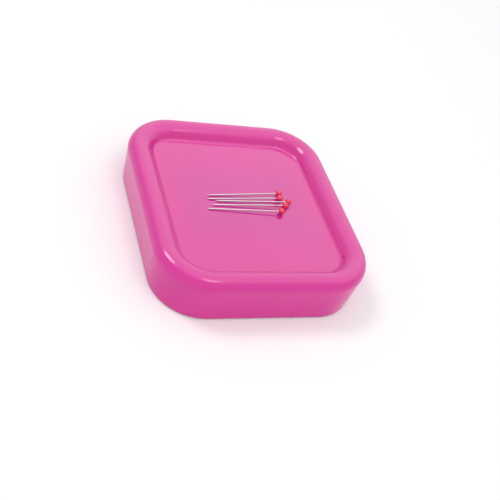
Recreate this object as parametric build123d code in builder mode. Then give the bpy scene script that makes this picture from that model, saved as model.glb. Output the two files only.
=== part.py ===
from build123d import *
import math
import os

# Magnetic pin bowl: a shallow dish with rounded corners, moulded in one piece and open below.
# Two bar magnets sit in a pocket under the tray floor, held up by a steel plate and a foam pad.
# A base plate closes the underside, screwed to four bosses, and stands on four rubber feet.
# Five ball-headed pins lie in the tray. Millimetres, +Z up, the feet stand on Z = 0.

# Dish
dish_width = 100.0
dish_length = 110.0
dish_height = 22.6
corner_radius = 24.0
skirt_draft = 1.5
skirt_wall = 1.9
rim_round = 5.0
tray_depth = 5.3
tray_wall_run = 6.8
tray_floor_round = 2.0
floor_thickness = 2.0
crest_core_slope = 0.5
rib_thickness = 1.4
rib_height = 7.0

# Base plate and its screws
plate_thickness = 2.0
plate_setback = 0.2
plate_clearance = 0.15
rebate_depth = 0.9
boss_radius = 3.2
boss_pocket_gap = 1.5
boss_spacing = 40.0
screw_shank_radius = 1.25
screw_head_radius = 2.35
screw_length = 9.0
screw_head_sink = 0.05
screw_clearance = 0.2
pilot_clearance = 0.05
pilot_extra_depth = 1.0

# Feet
foot_radius = 5.0
foot_stand = 0.8
foot_inset = 14.5

# Magnets and what holds them up
magnet_length = 60.0
magnet_width = 20.0
magnet_thickness = 6.0
magnet_chamfer = 0.5
divider_width = 2.6
pocket_clearance = 0.2
pocket_wall = 1.6
keeper_thickness = 1.2
foam_thickness = 3.0
platform_inset = 2.0
platform_rib = 1.6

# Pins
pin_length = 38.0
pin_shaft_radius = 0.3
pin_point_length = 1.5
pin_head_radius = 1.5
pin_head_gap = 0.35
pin_rest_gap = 0.15
pin_seat_share = 0.4

overrun = 1.0

# Where the pin heads lie. The group's middle is a share of the dish, and each head's place
# about it is in shares of the pitch at which two heads lie side by side.
pin_group_x_share = 0.187
pin_group_y_share = 0.002
pin_head_shares = ((-0.03, 1.76), (-0.23, 0.76), (0.90, 0.03), (0.21, -0.70), (-0.71, -1.90))
pin_turns = (3.3, 1.8, -0.3, 0.2, -1.9)

# Heights
skirt_bottom = foot_stand
rim_top = skirt_bottom + dish_height
tray_floor = rim_top - tray_depth
floor_underside = tray_floor - floor_thickness
crest_underside = rim_top - floor_thickness
plate_bottom = skirt_bottom + plate_setback
plate_top = plate_bottom + plate_thickness
magnet_bottom = floor_underside - magnet_thickness
keeper_bottom = magnet_bottom - keeper_thickness
foam_bottom = keeper_bottom - foam_thickness
boss_top = floor_underside + floor_thickness / 2

# The dish's wall section. From the crest, the rim's round runs down into the drafted skirt on one
# side, and a larger arc runs down to the tray floor on the other. Insets are measured in from the
# widest line of the plan. Below, straight faces core the wall out to about the floor's thickness.
skirt_lean = math.atan2(skirt_draft, dish_height)
rim_centre_height = rim_top - rim_round
skirt_start_inset = rim_round * (1 - math.cos(skirt_lean))
skirt_start_height = rim_centre_height - rim_round * math.sin(skirt_lean)
skirt_low_inset = skirt_start_inset + (skirt_start_height - skirt_bottom) * math.tan(skirt_lean)
hollow_inset = skirt_low_inset + skirt_wall
rebate_inset = hollow_inset - rebate_depth
plate_inset = rebate_inset + plate_clearance
tray_wall_radius = (tray_wall_run ** 2 + tray_depth ** 2) / (2 * tray_depth)
tray_wall_turn = math.asin(tray_wall_run / tray_wall_radius)
tray_inset = rim_round + tray_wall_run
tray_level_run = math.sqrt(tray_depth * (2 * tray_wall_radius + 2 * tray_floor_round - tray_depth))
section_end_inset = (rim_round + tray_level_run + corner_radius) / 2
slab_inset = tray_inset - floor_thickness * math.tan(tray_wall_turn / 2)
core_radius = tray_wall_radius - floor_thickness
core_middle_inset = rim_round + core_radius * math.sin(tray_wall_turn / 2)
core_middle_height = rim_top - tray_wall_radius + core_radius * math.cos(tray_wall_turn / 2)
hollow_top = crest_underside - (rim_round - hollow_inset) * crest_core_slope
rib_root_inset = hollow_inset - skirt_wall / 2

# Sizes that follow
pocket_length = magnet_length + 2 * pocket_clearance
pocket_width = 2 * magnet_width + divider_width + 4 * pocket_clearance
keeper_width = 2 * magnet_width + divider_width
boss_x = pocket_length / 2 + pocket_wall + boss_pocket_gap + boss_radius
boss_y = boss_spacing / 2
foot_x = dish_width / 2 - foot_inset
foot_y = dish_length / 2 - foot_inset
pilot_depth = screw_length - plate_thickness + pilot_extra_depth
head_pitch = 2 * pin_head_radius + pin_head_gap
pin_reach = pin_length - pin_head_radius
pin_tilt = math.asin((pin_head_radius - pin_shaft_radius) / (pin_reach - pin_point_length))

boss_places = [(side_x * boss_x, side_y * boss_y) for side_x in (-1, 1) for side_y in (-1, 1)]
foot_places = {
    f"foot_{depth_name}_{side_name}": (side_x * foot_x, side_y * foot_y)
    for side_y, depth_name in ((-1, "front"), (1, "rear"))
    for side_x, side_name in ((-1, "left"), (1, "right"))
}


def plan_shape(inset):
    """The dish's plan drawn in by an inset, for the sketch that is being drawn."""
    RectangleRounded(dish_width - 2 * inset, dish_length - 2 * inset, corner_radius - inset)


def save(part, name):
    """Label one finished piece and write it as its own file."""
    part.label = name
    export_step(part, f"parts/{name}.step")


os.makedirs("parts", exist_ok=True)

# Dish: one wall section is swept around the plan, with the drafted skirt, the rounded rim, the
# tray's wall, the start of the floor and the rebate for the base plate. The floor's middle closes
# it, and the magnet pocket, the screw bosses and their ribs hang below.
section_plane = Plane((0, -dish_length / 2, 0), x_dir=(0, 1, 0), z_dir=(1, 0, 0))
quarter_turn = 90
with BuildPart() as dish:
    with BuildLine() as rim_line:
        half_width, half_length = dish_width / 2, dish_length / 2
        FilletPolyline(
            (-half_width, -half_length),
            (half_width, -half_length),
            (half_width, half_length),
            (-half_width, half_length),
            radius=corner_radius,
            close=True,
        )
    with BuildSketch(section_plane) as wall_section:
        with BuildLine():
            rim = CenterArc(
                (rim_round, rim_centre_height),
                rim_round,
                quarter_turn,
                quarter_turn + math.degrees(skirt_lean),
            )
            tray_wall = CenterArc(
                (rim_round, rim_top - tray_wall_radius),
                tray_wall_radius,
                quarter_turn,
                -math.degrees(tray_wall_turn),
            )
            Polyline(
                rim @ 1,
                (skirt_low_inset, skirt_bottom),
                (rebate_inset, skirt_bottom),
                (rebate_inset, plate_top),
                (hollow_inset, plate_top),
                (hollow_inset, hollow_top),
                (rim_round, crest_underside),
                (core_middle_inset, core_middle_height),
                (slab_inset, floor_underside),
                (section_end_inset, floor_underside),
                (section_end_inset, tray_floor),
                tray_wall @ 1,
            )
        make_face()
        floor_corner = wall_section.vertices().sort_by_distance((tray_inset, tray_floor, 0))[0]
        fillet(floor_corner, tray_floor_round)
    sweep(path=rim_line.wire())
    with BuildSketch(Plane.XY.offset(floor_underside)):
        plan_shape(section_end_inset)
    extrude(amount=floor_thickness)
    with BuildSketch(Plane.XY.offset(keeper_bottom)):
        Rectangle(pocket_length + 2 * pocket_wall, pocket_width + 2 * pocket_wall)
        Rectangle(pocket_length, pocket_width, mode=Mode.SUBTRACT)
    extrude(amount=floor_underside - keeper_bottom)
    with BuildSketch(Plane.XY.offset(magnet_bottom + pocket_clearance)):
        Rectangle(pocket_length, divider_width)
    extrude(amount=magnet_thickness - pocket_clearance)
    for place_x, place_y in boss_places:
        side = math.copysign(1, place_x)
        with BuildSketch(Plane.XZ.offset(-place_y)):
            with BuildLine():
                Polyline(
                    (place_x, floor_underside),
                    (place_x, floor_underside - rib_height),
                    (side * (half_width - rib_root_inset), floor_underside - rib_height),
                    (side * (half_width - rib_root_inset), hollow_top),
                    (side * (half_width - hollow_inset), hollow_top),
                    (side * (half_width - rim_round), crest_underside),
                    (side * (half_width - core_middle_inset), core_middle_height),
                    (side * (half_width - slab_inset), floor_underside),
                    close=True,
                )
            make_face()
        extrude(amount=rib_thickness / 2, both=True)
    with BuildSketch(Plane.XY.offset(plate_top)):
        with Locations(boss_places):
            Circle(boss_radius)
    extrude(amount=boss_top - plate_top)
    with BuildSketch(Plane.XY.offset(plate_top)):
        with Locations(boss_places):
            Circle(screw_shank_radius + pilot_clearance)
    extrude(amount=pilot_depth, mode=Mode.SUBTRACT)
save(dish.part, "dish")

# Base plate: a flat plate set in the skirt's rebate, with countersunk screw holes and a low
# frame with cross ribs that presses the foam pad up.
with BuildPart() as base_cover:
    with BuildSketch(Plane.XY.offset(plate_bottom)):
        plan_shape(plate_inset)
    extrude(amount=plate_thickness)
    platform_length = magnet_length - 2 * platform_inset
    platform_width = keeper_width - 2 * platform_inset
    with BuildSketch(Plane.XY.offset(plate_top)):
        Rectangle(platform_length, platform_width)
        Rectangle(platform_length - 2 * platform_rib, platform_width - 2 * platform_rib,
                  mode=Mode.SUBTRACT)
        Rectangle(platform_length, platform_rib)
        Rectangle(platform_rib, platform_width)
    extrude(amount=foam_bottom - plate_top)
    with Locations(Plane.XY.offset(plate_bottom).rotated((180, 0, 0))):
        with Locations(boss_places):
            CounterSinkHole(
                screw_shank_radius + screw_clearance,
                screw_head_radius + screw_clearance,
                counter_sink_angle=90,
            )
save(base_cover.part, "base_cover")

# Magnets: two ferrite bars side by side, with the pocket's divider between them.
for side_y, name in ((-1, "magnet_front"), (1, "magnet_rear")):
    magnet_y = side_y * (divider_width / 2 + pocket_clearance + magnet_width / 2)
    with BuildPart() as magnet:
        with BuildSketch(Plane.XY.offset(magnet_bottom)):
            with Locations((0, magnet_y)):
                Rectangle(magnet_length, magnet_width)
        extrude(amount=magnet_thickness)
        chamfer(magnet.edges(), magnet_chamfer)
    save(magnet.part, name)

# Keeper plate: sheet steel under both magnets, inside the pocket's wall.
with BuildPart() as keeper_plate:
    with BuildSketch(Plane.XY.offset(keeper_bottom)):
        Rectangle(magnet_length, keeper_width)
    extrude(amount=keeper_thickness)
save(keeper_plate.part, "keeper_plate")

# Foam pad: sprung between the keeper plate and the base plate's frame.
with BuildPart() as foam_pad:
    with BuildSketch(Plane.XY.offset(foam_bottom)):
        Rectangle(magnet_length, keeper_width)
    extrude(amount=foam_thickness)
save(foam_pad.part, "foam_pad")

# Screws: countersunk, through the base plate into the bosses.
screw_bottom = plate_bottom + screw_head_sink
head_cone = screw_head_radius - screw_shank_radius
with BuildPart() as cover_screws:
    for place_x, place_y in boss_places:
        with BuildSketch(Plane.XZ.offset(-place_y)):
            with BuildLine():
                Polyline(
                    (place_x, screw_bottom),
                    (place_x + screw_head_radius, screw_bottom),
                    (place_x + screw_shank_radius, screw_bottom + head_cone),
                    (place_x + screw_shank_radius, screw_bottom + screw_length),
                    (place_x, screw_bottom + screw_length),
                    close=True,
                )
            make_face()
        revolve(axis=Axis((place_x, place_y, 0), (0, 0, 1)))
save(cover_screws.part, "cover_screws")

# Feet: soft discs stuck to the base plate.
for name, place in foot_places.items():
    with BuildPart() as foot:
        with BuildSketch():
            with Locations(place):
                Circle(foot_radius)
        extrude(amount=plate_bottom)
    save(foot.part, name)

# Pins: each lies on the tray floor on its head and its point, a little clear of the floor.
for number, (head_share, turn) in enumerate(zip(pin_head_shares, pin_turns), start=1):
    head_x = dish_width * pin_group_x_share + head_share[0] * head_pitch
    head_y = dish_length * pin_group_y_share + head_share[1] * head_pitch
    head_z = tray_floor + pin_rest_gap + pin_head_radius
    turn_angle = math.radians(turn)
    towards_point = Vector(
        -math.cos(pin_tilt) * math.cos(turn_angle),
        -math.cos(pin_tilt) * math.sin(turn_angle),
        -math.sin(pin_tilt),
    )
    pin_plane = Plane(origin=(head_x, head_y, head_z), z_dir=towards_point)
    seat_depth = pin_seat_share * pin_head_radius

    with BuildPart(pin_plane) as pin_shaft:
        shank_length = pin_reach - pin_point_length + seat_depth
        with Locations((0, 0, -seat_depth)):
            Cylinder(pin_shaft_radius, shank_length, align=(Align.CENTER, Align.CENTER, Align.MIN))
        with Locations((0, 0, pin_reach - pin_point_length)):
            Cone(pin_shaft_radius, 0, pin_point_length,
                 align=(Align.CENTER, Align.CENTER, Align.MIN))
    save(pin_shaft.part, f"pin_{number}_shaft")

    with BuildPart(pin_plane) as pin_head:
        Sphere(pin_head_radius)
        with Locations((0, 0, -seat_depth)):
            Cylinder(pin_shaft_radius, seat_depth + pin_head_radius + overrun,
                     align=(Align.CENTER, Align.CENTER, Align.MIN), mode=Mode.SUBTRACT)
    save(pin_head.part, f"pin_{number}_head")
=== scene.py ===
import math

import bpy
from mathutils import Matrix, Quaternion, Vector


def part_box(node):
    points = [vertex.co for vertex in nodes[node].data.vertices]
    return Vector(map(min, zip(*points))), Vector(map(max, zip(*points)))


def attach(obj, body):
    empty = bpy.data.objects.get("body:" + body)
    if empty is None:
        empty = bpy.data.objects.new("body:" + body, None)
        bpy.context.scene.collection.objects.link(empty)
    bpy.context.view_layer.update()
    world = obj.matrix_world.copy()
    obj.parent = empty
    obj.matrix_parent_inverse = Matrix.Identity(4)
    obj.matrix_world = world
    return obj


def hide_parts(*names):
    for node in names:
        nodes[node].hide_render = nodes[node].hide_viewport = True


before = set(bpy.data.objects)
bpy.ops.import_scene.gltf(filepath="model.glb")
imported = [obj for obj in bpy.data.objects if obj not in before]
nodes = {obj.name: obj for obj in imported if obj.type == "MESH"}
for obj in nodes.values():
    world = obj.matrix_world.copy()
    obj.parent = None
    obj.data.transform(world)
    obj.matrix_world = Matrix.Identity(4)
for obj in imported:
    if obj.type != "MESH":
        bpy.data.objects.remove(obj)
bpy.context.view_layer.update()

MM = 0.001

# Screws: the radius of head and shank, as on the frame's screws, then the rounded edge, the tip
# and the cross recess that those lack.
SCREW_SIDES = 32
SCREW_HEAD = 2.35 * MM
SCREW_SHANK = 1.25 * MM
SCREW_EDGE = 0.12 * MM
SCREW_EDGE_STEPS = 2
TIP_LENGTH = 1.5 * MM
TIP_TAPER = 0.55
RECESS_SPAN = 2.6 * MM
RECESS_WIDTH = 0.62 * MM
RECESS_DEPTH = 0.9 * MM
RECESS_TAPER = 0.45
RECESS_PROUD = 0.2 * MM

# Feet: the rounded edge, and the flat lip round the hollow underside.
FOOT_SIDES = 64
FOOT_EDGE = 0.3 * MM
FOOT_EDGE_STEPS = 4
FOOT_LIP = 0.9 * MM
FOOT_HOLLOW = 0.15 * MM

# How far a face may lie above a level and still count as lying on it.
LEVEL_SLACK = 0.015 * MM

# The sharpest edge, in degrees, that is still shaded as one smooth surface.
SMOOTH_ANGLE = 35

# How soft the edge is of the patch that the magnets make in the floor's colour.
PATCH_FADE = 7 * MM

# Floor: its side in metres, and the glow that lifts it to white where the camera or a reflection
# sees it.
FLOOR_SIDE = 8
PAPER_LIFT = 0.07

# Light tent: the way to the side that gives more light, and how much comes from the side opposite
# and from that one.
TENT_WAY = (0.45, -0.8, 0.2)
TENT_LOW, TENT_HIGH = 0.42, 0.92

# The tent's roof: the way to it, how much brighter it is in reflections, and how near to that
# way, as a cosine, it begins and is full.
ROOF_WAY = (0.25, 0.35, 0.9)
ROOF_GLOW = 1.15
ROOF_EDGE, ROOF_MIDDLE = 0.4, 0.95

# Two round soft lamps, equally far away: the way to each, its size in metres and its power in watts.
LAMP_DISTANCE = 1.4
LAMPS = {
    "lamp_above": ((0.13, -0.3, 0.945), 0.5, 2.0),
    "lamp_left": ((-0.48, 0.31, 0.82), 0.48, 4.6),
}

# Camera: its place, the point that it faces, its turn about the line to that point in degrees,
# and its lens and sensor in millimetres.
CAMERA_PLACE = (-0.143881, -0.253095, 0.251663)
CAMERA_AIM = (-0.006058, -0.030236, 0.018556)
CAMERA_TURN = 23.388
CAMERA_LENS, CAMERA_SENSOR = 58.0, 36

# The sockets of a node that mixes colours: its factor and its two colours.
MIX_FACTOR, MIX_FIRST, MIX_SECOND = 0, 6, 7


def linear(hex_colour):
    """An sRGB hex colour as the linear colour that shaders work in."""
    parts = [int(hex_colour[i : i + 2], 16) / 255 for i in (1, 3, 5)]
    return tuple(c / 12.92 if c <= 0.04045 else ((c + 0.055) / 1.055) ** 2.4 for c in parts) + (1,)


def per_mm(size):
    """A pattern's scale on coordinates in metres, from the size in millimetres of one repeat."""
    return 1 / (size * MM)


def drawn_out(times):
    """The scale of a Mapping that draws a pattern out along X, to so many times its length."""
    return (1 / times, 1, 1)


def connect(tree, target, sockets):
    """Sets each socket of a node to a value, or links it to a socket or to a node's first output
    that is in use."""
    for socket, value in sockets.items():
        if isinstance(value, bpy.types.Node):
            value = next(output for output in value.outputs if output.enabled)
        if isinstance(value, bpy.types.NodeSocket):
            tree.links.new(value, target.inputs[socket])
        else:
            target.inputs[socket].default_value = value


def node(tree, kind, sockets=None, **settings):
    """Adds one shader node with its settings, and connects its sockets."""
    made = tree.nodes.new(kind)
    for name, value in settings.items():
        setattr(made, name, value)
    connect(tree, made, sockets or {})
    return made


def material(name, **sockets):
    """A new material, its node tree, the shader and Object coordinates in metres."""
    made = bpy.data.materials.new(name)
    made.use_nodes = True
    tree = made.node_tree
    shader = tree.nodes["Principled BSDF"]
    connect(tree, shader, {socket.replace("_", " "): value for socket, value in sockets.items()})
    place = node(tree, "ShaderNodeTexCoord").outputs["Object"]
    return made, tree, shader, place


def set_surface(tree, shader, colour, roughness, bump):
    """Gives a shader its colour and its roughness, each as a pattern and the two values between
    which it moves, and its bump, as a pattern and a depth in millimetres."""
    mottling, *colours = colour
    first, second = (linear(value) if isinstance(value, str) else value for value in colours)
    wear, low, high = roughness
    relief, depth = bump
    connect(tree, shader, {
        "Base Color": node(tree, "ShaderNodeMix", {MIX_FACTOR: mottling, MIX_FIRST: first,
                                                   MIX_SECOND: second}, data_type="RGBA"),
        "Roughness": node(tree, "ShaderNodeMapRange", {"Value": wear, "To Min": low, "To Max": high}),
        "Normal": node(tree, "ShaderNodeBump", {"Height": relief, "Distance": depth * MM}),
    })


def rays_that_see(tree):
    """1 for the rays that show a surface as a picture: the camera's, and those in gloss and glass."""
    path = node(tree, "ShaderNodeLightPath").outputs
    seen = node(tree, "ShaderNodeMath", {0: path["Is Camera Ray"], 1: path["Is Glossy Ray"]},
                operation="MAXIMUM")
    return node(tree, "ShaderNodeMath", {0: seen, 1: path["Is Transmission Ray"]}, operation="MAXIMUM")


def moulded_polystyrene():
    """Polystyrene from a polished tool: glossy to its edges, a little wavy where it shrank and
    cloudy where it flowed. The magnets make a cooler, duller patch in the thin floor."""
    # Polystyrene's own IOR is 1.59. A little less gives the gloss that the dish shows.
    made, tree, shader, place = material("moulded_polystyrene", IOR=1.56)
    axes = node(tree, "ShaderNodeSeparateXYZ", {"Vector": place})
    patch = 1.0
    for axis, way in enumerate("XY"):
        reach = max(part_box(name)[1][axis] for name in ("magnet_front", "magnet_rear"))
        off_centre = node(tree, "ShaderNodeMath", {0: axes.outputs[way]}, operation="ABSOLUTE")
        over = node(tree, "ShaderNodeMapRange", {"Value": off_centre, "From Min": reach + PATCH_FADE,
                                                 "From Max": reach - PATCH_FADE},
                    interpolation_type="SMOOTHSTEP")
        patch = node(tree, "ShaderNodeMath", {0: over, 1: patch}, operation="MULTIPLY")
    clouds = node(tree, "ShaderNodeTexNoise", {"Vector": place, "Scale": per_mm(28), "Detail": 3})
    plain = node(tree, "ShaderNodeMix", {MIX_FACTOR: clouds, MIX_FIRST: linear("#D81C92"),
                                         MIX_SECOND: linear("#DC2699")}, data_type="RGBA")
    dulled = node(tree, "ShaderNodeMix", {MIX_FACTOR: clouds, MIX_FIRST: linear("#CF2593"),
                                          MIX_SECOND: linear("#D52C9A")}, data_type="RGBA")
    ripples = node(tree, "ShaderNodeTexNoise", {"Vector": place, "Scale": per_mm(10), "Detail": 1})
    set_surface(tree, shader, (patch, plain, dulled), (clouds, 0.1, 0.15), (ripples, 0.02))
    return made


def spark_eroded_polystyrene():
    """The same plastic from a spark-eroded tool: an even matt grain that shows no reflections."""
    made, tree, shader, place = material("spark_eroded_polystyrene", IOR=1.59)
    # The real grain is about 0.1 mm, drawn coarser so that it shows.
    grain = node(tree, "ShaderNodeTexNoise", {"Vector": place, "Scale": per_mm(0.5), "Detail": 4,
                                              "Roughness": 0.7})
    clouds = node(tree, "ShaderNodeTexNoise", {"Vector": place, "Scale": per_mm(30)})
    set_surface(tree, shader, (clouds, "#C8248C", "#D03096"), (grain, 0.42, 0.62), (grain, 0.06))
    return made


def moulded_bead():
    """Polystyrene beads moulded onto the pins: glossy, with faint swirls where they flowed."""
    made, tree, shader, place = material("moulded_bead", IOR=1.59)
    swirls = node(tree, "ShaderNodeTexNoise", {"Vector": place, "Scale": per_mm(1.4), "Detail": 3})
    set_surface(tree, shader, (swirls, "#EA1C4A", "#F4305E"), (swirls, 0.12, 0.22), (swirls, 0.01))
    return made


def nickel_plated_wire():
    """Nickel-plated drawn wire: grey metal with fine lines along the pin from the die. Its colour is
    tinted pink, a painted reflection of the dish.
    """
    made, tree, shader, place = material("nickel_plated_wire", Metallic=1.0)
    # The real lines are some hundredths of a millimetre wide, drawn coarser so that they show.
    along = node(tree, "ShaderNodeMapping", {"Vector": place, "Scale": drawn_out(40)})
    lines = node(tree, "ShaderNodeTexNoise", {"Vector": along, "Scale": per_mm(0.15), "Detail": 3})
    # Both colours carry a pink tint that is a painted reflection of the pink dish; the nickel itself
    # is grey.
    set_surface(tree, shader, (lines, "#B0A3AB", "#C8BCC4"), (lines, 0.24, 0.36), (lines, 0.004))
    return made


def zinc_plated_steel():
    """Zinc-plated steel: pale metal with a faint bloom of blue and straw from its passivation."""
    made, tree, shader, place = material("zinc_plated_steel", Metallic=1.0)
    bloom = node(tree, "ShaderNodeTexNoise", {"Vector": place, "Scale": per_mm(1.6), "Detail": 3})
    tint = node(tree, "ShaderNodeMapRange", {"Value": bloom, "From Min": 0.35, "From Max": 0.65})
    # The real crystals are some hundredths of a millimetre wide, drawn coarser so that they show.
    speckle = node(tree, "ShaderNodeTexNoise", {"Vector": place, "Scale": per_mm(0.4), "Detail": 4})
    set_surface(tree, shader, (tint, "#B4BCC8", "#C8C2B0"), (speckle, 0.25, 0.42), (speckle, 0.01))
    return made


def moulded_rubber():
    """Rubber moulded in a blasted tool: dull, with a dusty bloom that lightens it in places."""
    made, tree, shader, place = material("moulded_rubber", IOR=1.52)
    # The real grain is about 0.05 mm, drawn coarser so that it shows.
    grain = node(tree, "ShaderNodeTexNoise", {"Vector": place, "Scale": per_mm(0.35), "Detail": 3})
    bloom = node(tree, "ShaderNodeTexNoise", {"Vector": place, "Scale": per_mm(2.5), "Detail": 4})
    set_surface(tree, shader, (bloom, "#B0B1B4", "#C6C7CA"), (grain, 0.55, 0.75), (grain, 0.03))
    return made


def ground_ferrite():
    """Sintered ferrite ground flat: nearly black, with grey grinding lines along the bar."""
    made, tree, shader, place = material("ground_ferrite", IOR=2.3)
    # The real lines are about 0.1 mm apart, drawn coarser so that they show.
    along = node(tree, "ShaderNodeMapping", {"Vector": place, "Scale": drawn_out(30)})
    lines = node(tree, "ShaderNodeTexNoise", {"Vector": along, "Scale": per_mm(0.4), "Detail": 4})
    set_surface(tree, shader, (lines, "#232326", "#3A3A3D"), (lines, 0.38, 0.58), (lines, 0.02))
    return made


def cold_rolled_sheet():
    """Cold-rolled steel sheet: grey metal with long rolling marks and a few dull oil stains."""
    made, tree, shader, place = material("cold_rolled_sheet", Metallic=1.0)
    # The real marks are about 0.1 mm apart, drawn coarser so that they show.
    along = node(tree, "ShaderNodeMapping", {"Vector": place, "Scale": drawn_out(60)})
    marks = node(tree, "ShaderNodeTexNoise", {"Vector": along, "Scale": per_mm(0.5), "Detail": 4})
    stains = node(tree, "ShaderNodeTexNoise", {"Vector": place, "Scale": per_mm(12), "Detail": 3})
    stained = node(tree, "ShaderNodeMapRange", {"Value": stains, "From Min": 0.5, "From Max": 0.7})
    set_surface(tree, shader, (stained, "#A3A5A8", "#8E8D88"), (marks, 0.28, 0.45), (marks, 0.01))
    return made


def open_cell_foam():
    """Open-cell foam: charcoal, pitted all over with cells about half a millimetre wide, the pits
    darkened by painted shade.
    """
    made, tree, shader, place = material("open_cell_foam", Roughness=0.95)
    cells = node(tree, "ShaderNodeTexVoronoi", {"Vector": place, "Scale": per_mm(0.6)})
    relief_and_pit_shade = node(tree, "ShaderNodeMapRange", {"Value": cells, "From Min": 0.1, "From Max": 0.6})
    # The pits are painted darker than the cell walls: painted shade in the hollows, from the same
    # pattern that gives the relief.
    connect(tree, shader, {
        "Base Color": node(tree, "ShaderNodeMix", {MIX_FACTOR: relief_and_pit_shade, MIX_FIRST: linear("#1B1B1E"),
                                                   MIX_SECOND: linear("#44444A")}, data_type="RGBA"),
        "Normal": node(tree, "ShaderNodeBump", {"Height": relief_and_pit_shade, "Distance": 0.25 * MM}),
    })
    return made


def matt_paper():
    """Heavy matt paper: off white, with faint fibres, and lifted to white where it is seen."""
    made, tree, shader, place = material("matt_paper", Roughness=0.9, Specular_IOR_Level=0.0,
                                         Emission_Color=linear("#FFFFFF"))
    # Real fibres are some hundredths of a millimetre wide, drawn coarser so that they show.
    along = node(tree, "ShaderNodeMapping", {"Vector": place, "Scale": drawn_out(6)})
    fibres = node(tree, "ShaderNodeTexNoise", {"Vector": along, "Scale": per_mm(2), "Detail": 4})
    connect(tree, shader, {
        "Base Color": node(tree, "ShaderNodeMix", {MIX_FACTOR: fibres, MIX_FIRST: linear("#FBFBFB"),
                                                   MIX_SECOND: linear("#FDFDFD")}, data_type="RGBA"),
        "Emission Strength": node(tree, "ShaderNodeMath", {0: rays_that_see(tree), 1: PAPER_LIFT},
                                  operation="MULTIPLY"),
    })
    return made


def put_on(piece, finish):
    """Gives a piece one material in place of any that it has."""
    piece.data.materials.clear()
    piece.data.materials.append(finish)


# The frame's nodes: each gets the material that goes with a word in its name.
finishes = {
    "dish": moulded_polystyrene(),
    "base_cover": spark_eroded_polystyrene(),
    "head": moulded_bead(),
    "shaft": nickel_plated_wire(),
    "screws": zinc_plated_steel(),
    "foot": moulded_rubber(),
    "magnet": ground_ferrite(),
    "keeper_plate": cold_rolled_sheet(),
    "foam_pad": open_cell_foam(),
}
for name, piece in nodes.items():
    put_on(piece, next(finish for word, finish in finishes.items() if word in name))


def pick(*pieces):
    """Leaves edit mode and selects these pieces alone, with the first of them active."""
    if bpy.context.mode != "OBJECT":
        bpy.ops.object.mode_set(mode="OBJECT")
    bpy.ops.object.select_all(action="DESELECT")
    for piece in pieces:
        piece.select_set(True)
    bpy.context.view_layer.objects.active = pieces[0]


def choose(piece, kind, chosen):
    """Opens one mesh in edit mode, with the faces or edges selected that a test picks by the
    heights of their corners."""
    pick(piece)
    bpy.ops.object.mode_set(mode="EDIT")
    bpy.ops.mesh.select_mode(type=kind)
    bpy.ops.mesh.select_all(action="DESELECT")
    bpy.ops.object.mode_set(mode="OBJECT")
    for part in piece.data.polygons if kind == "FACE" else piece.data.edges:
        part.select = chosen([piece.data.vertices[i].co.z for i in part.vertices])
    bpy.ops.object.mode_set(mode="EDIT")


def settle(piece, name):
    """Leaves edit mode, puts the piece's place into its mesh and names it."""
    pick(piece)
    bpy.ops.object.transform_apply(location=True, rotation=True, scale=True)
    piece.name = name


def copy_to(piece, x, y, name):
    """A copy of a piece with a mesh of its own, moved along the floor."""
    pick(piece)
    bpy.ops.object.duplicate(linked=False)
    made = bpy.context.active_object
    made.location = (x, y, 0)
    settle(made, name)
    return made


def finish_piece(piece, finish, node_name):
    """Smooths a piece, gives it its material and sets it in the frame in place of a node."""
    pick(piece)
    bpy.ops.object.shade_smooth_by_angle(angle=math.radians(SMOOTH_ANGLE))
    put_on(piece, finish)
    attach(piece, "bowl")
    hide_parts(node_name)


def recess_blade(level, turned):
    """One blade of a cross, narrower at its top, reaching up into a screw head from a level."""
    middle = level + (RECESS_DEPTH - RECESS_PROUD) / 2
    bpy.ops.object.select_all(action="DESELECT")
    bpy.ops.mesh.primitive_cube_add(size=1, location=(0, 0, middle))
    blade = bpy.context.active_object
    choose(blade, "FACE", lambda heights: True)
    spans = (RECESS_WIDTH, RECESS_SPAN) if turned else (RECESS_SPAN, RECESS_WIDTH)
    bpy.ops.transform.resize(value=(*spans, RECESS_DEPTH + RECESS_PROUD))
    choose(blade, "FACE", lambda heights: min(heights) > 0)
    bpy.ops.transform.resize(value=(1, RECESS_TAPER, 1) if turned else (RECESS_TAPER, 1, 1))
    settle(blade, "recess_blade")
    return blade


def countersunk_screw(low, high):
    """One countersunk screw on the Z axis, between two levels, with a cross recess below."""
    cone = SCREW_HEAD - SCREW_SHANK
    middle = low + cone / 2
    bpy.ops.object.select_all(action="DESELECT")
    bpy.ops.mesh.primitive_cone_add(vertices=SCREW_SIDES, radius1=SCREW_HEAD, radius2=SCREW_SHANK,
                                    depth=cone, location=(0, 0, middle))
    screw = bpy.context.active_object
    settle(screw, "screw")
    choose(screw, "FACE", lambda heights: min(heights) > middle)
    for rise in (high - low - cone - TIP_LENGTH, TIP_LENGTH):
        bpy.ops.mesh.extrude_region_move(TRANSFORM_OT_translate={"value": (0, 0, rise)})
    bpy.ops.transform.resize(value=(TIP_TAPER, TIP_TAPER, 1))
    choose(screw, "EDGE", lambda heights: max(heights) < middle)
    bpy.ops.mesh.bevel(offset=SCREW_EDGE, segments=SCREW_EDGE_STEPS, affect="EDGES")
    settle(screw, "screw")
    for turned in (False, True):
        blade = recess_blade(low, turned)
        cut = screw.modifiers.new("recess", "BOOLEAN")
        cut.operation = "DIFFERENCE"
        cut.solver = "EXACT"
        cut.object = blade
        pick(screw)
        bpy.ops.object.modifier_apply(modifier="recess")
        bpy.data.objects.remove(blade)
    return screw


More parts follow.
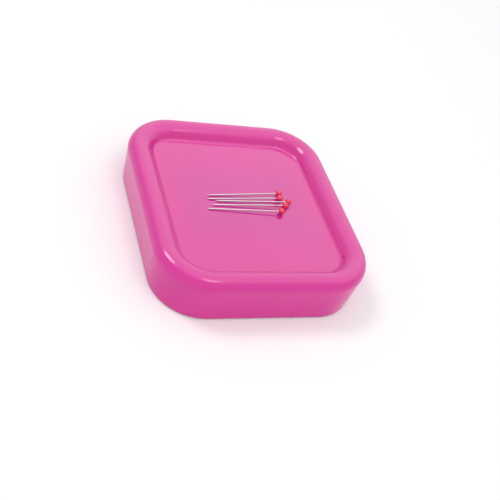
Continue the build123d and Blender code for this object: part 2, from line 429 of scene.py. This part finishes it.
def rubber_foot(radius, low, high):
    """One foot on the Z axis: a disc with a rounded lower edge and a shallow hollow below."""
    middle = (low + high) / 2
    bpy.ops.object.select_all(action="DESELECT")
    bpy.ops.mesh.primitive_cylinder_add(vertices=FOOT_SIDES, radius=radius, depth=high - low,
                                        location=(0, 0, middle))
    foot = bpy.context.active_object
    settle(foot, "foot")
    choose(foot, "EDGE", lambda heights: max(heights) < middle)
    bpy.ops.mesh.bevel(offset=FOOT_EDGE, segments=FOOT_EDGE_STEPS, affect="EDGES")
    choose(foot, "FACE", lambda heights: max(heights) < low + LEVEL_SLACK)
    bpy.ops.mesh.inset(thickness=FOOT_LIP)
    bpy.ops.mesh.inset(thickness=FOOT_HOLLOW)
    bpy.ops.transform.translate(value=(0, 0, FOOT_HOLLOW))
    settle(foot, "foot")
    return foot


# Screws: one is modelled, then copied to the four places and joined as the frame's node is.
low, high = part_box("cover_screws")
first_screw = countersunk_screw(low[2], high[2])
reach_x, reach_y = high[0] - SCREW_HEAD, high[1] - SCREW_HEAD
screws = [
    copy_to(first_screw, side_x * reach_x, side_y * reach_y, "screws")
    for side_x in (-1, 1)
    for side_y in (-1, 1)
]
bpy.data.objects.remove(first_screw)
pick(*screws)
bpy.ops.object.join()
screws[0].name = "recessed_screws"
finish_piece(screws[0], finishes["screws"], "cover_screws")

# Feet: one is modelled and copied to the four places.
feet = [name for name in nodes if name.startswith("foot_")]
low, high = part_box(feet[0])
first_foot = rubber_foot((high[0] - low[0]) / 2, low[2], high[2])
for name in feet:
    low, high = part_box(name)
    middle_x, middle_y = (low[0] + high[0]) / 2, (low[1] + high[1]) / 2
    foot = copy_to(first_foot, middle_x, middle_y, name.replace("foot", "rubber_foot"))
    finish_piece(foot, finishes["foot"], name)
bpy.data.objects.remove(first_foot)

# Floor: a wide sheet of matt paper.
bpy.ops.object.select_all(action="DESELECT")
bpy.ops.mesh.primitive_plane_add(size=FLOOR_SIDE, location=(0, 0, 0))
floor = bpy.context.active_object
floor.name = "floor"
put_on(floor, matt_paper())

# World: a white tent all round, which gives more light from one side. The camera and reflections
# see it plain white, and reflections also find a brighter roof, a little behind the dish.
world = bpy.data.worlds.new("light_tent")
bpy.context.scene.world = world
world.use_nodes = True
tree = world.node_tree
back = tree.nodes["Background"]
glossy = node(tree, "ShaderNodeLightPath").outputs["Is Glossy Ray"]
way = node(tree, "ShaderNodeTexCoord").outputs["Generated"]
towards_roof = node(tree, "ShaderNodeVectorMath", {0: way, 1: Vector(ROOF_WAY).normalized()},
                    operation="DOT_PRODUCT").outputs["Value"]
roof = node(tree, "ShaderNodeMapRange", {"Value": towards_roof, "From Min": ROOF_EDGE,
                                         "From Max": ROOF_MIDDLE, "To Max": ROOF_GLOW},
            interpolation_type="SMOOTHSTEP")
roof_seen = node(tree, "ShaderNodeMath", {0: roof, 1: glossy}, operation="MULTIPLY")
towards_front = node(tree, "ShaderNodeVectorMath", {0: way, 1: Vector(TENT_WAY).normalized()},
                     operation="DOT_PRODUCT").outputs["Value"]
tent = node(tree, "ShaderNodeMapRange", {"Value": towards_front, "From Min": -1, "To Min": TENT_LOW,
                                         "To Max": TENT_HIGH})
level = node(tree, "ShaderNodeMapRange", {"Value": rays_that_see(tree), "To Min": tent})
total = node(tree, "ShaderNodeMath", {0: level, 1: roof_seen}, operation="ADD")
connect(tree, back, {"Color": linear("#FFFFFF"), "Strength": total})

# Lamps: each stands off along its way and faces the dish.
for name, (lamp_way, size, power) in LAMPS.items():
    light = bpy.data.lights.new(name, "AREA")
    light.shape = "DISK"
    light.size = size
    light.energy = power
    lamp = bpy.data.objects.new(name, light)
    bpy.context.scene.collection.objects.link(lamp)
    towards = Vector(lamp_way).normalized()
    lamp.location = towards * LAMP_DISTANCE
    lamp.rotation_euler = towards.to_track_quat("Z", "Y").to_euler()

# Camera: in front of the dish's left corner, looking down, turned as the photograph is.
camera_data = bpy.data.cameras.new("camera")
camera_data.lens = CAMERA_LENS
camera_data.sensor_width = CAMERA_SENSOR
camera = bpy.data.objects.new("camera", camera_data)
bpy.context.scene.collection.objects.link(camera)
camera.location = CAMERA_PLACE
facing = (Vector(CAMERA_AIM) - camera.location).to_track_quat("-Z", "Y")
camera.rotation_mode = "QUATERNION"
camera.rotation_quaternion = facing @ Quaternion((0, 0, 1), math.radians(CAMERA_TURN))
bpy.context.scene.camera = camera
bpy.context.scene.view_settings.view_transform = "Standard"
